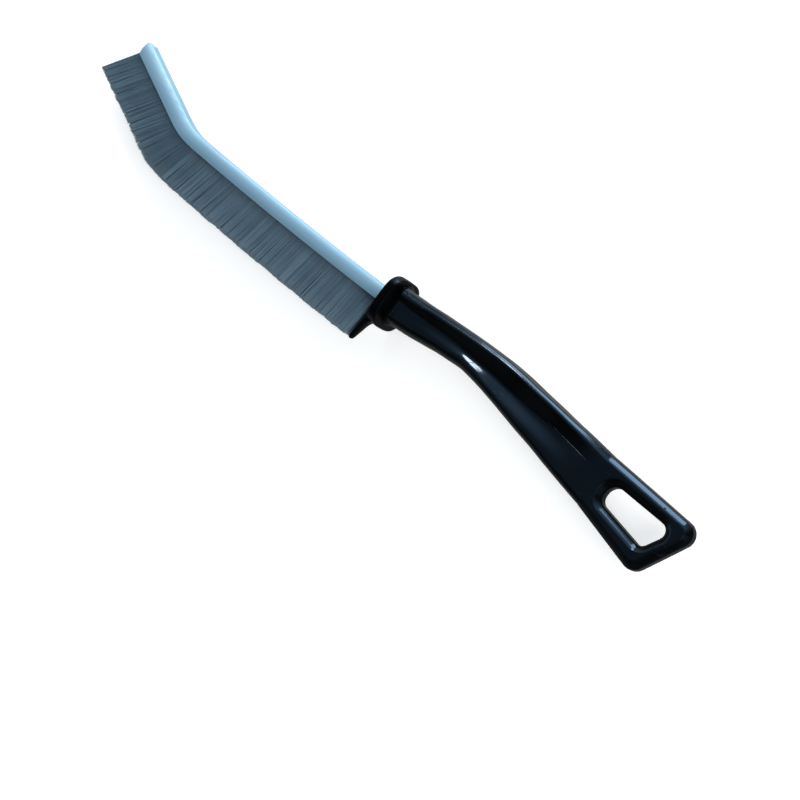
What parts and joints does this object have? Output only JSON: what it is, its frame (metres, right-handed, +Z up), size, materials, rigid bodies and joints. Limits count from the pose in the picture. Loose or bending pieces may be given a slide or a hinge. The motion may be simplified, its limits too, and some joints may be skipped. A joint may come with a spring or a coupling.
{
  "type": "crevice brush",
  "caption": "Narrow strip brush in a metal channel with a bent tip, on a slim handle with a flute on each side and a hanging hole, for cleaning gaps and tile joints.",
  "frame": {"origin": "middle of the bottom of the bounding box, with the brush lying on one flat side", "axes": "+X towards the butt of the handle, -X towards the bristle tip, +Y towards the back of the brush, +Z up out of the flat side"},
  "size_m": [0.2246, 0.0324, 0.0142],
  "materials": {
    "handle_plastic": "glossy moulded black",
    "channel_steel": "smooth galvanised sheet, satin",
    "wire_steel": "drawn wire",
    "grey_nylon": "satin slate-grey filament"
  },
  "bodies": {
    "root": {"handle": "handle_plastic", "channel": "channel_steel", "core_wire": "wire_steel", "bristles_collar": "grey_nylon", "bristles_middle": "grey_nylon", "bristles_front": "grey_nylon", "bristles_bend": "grey_nylon", "bristles_tip": "grey_nylon"}
  },
  "joints": []
}
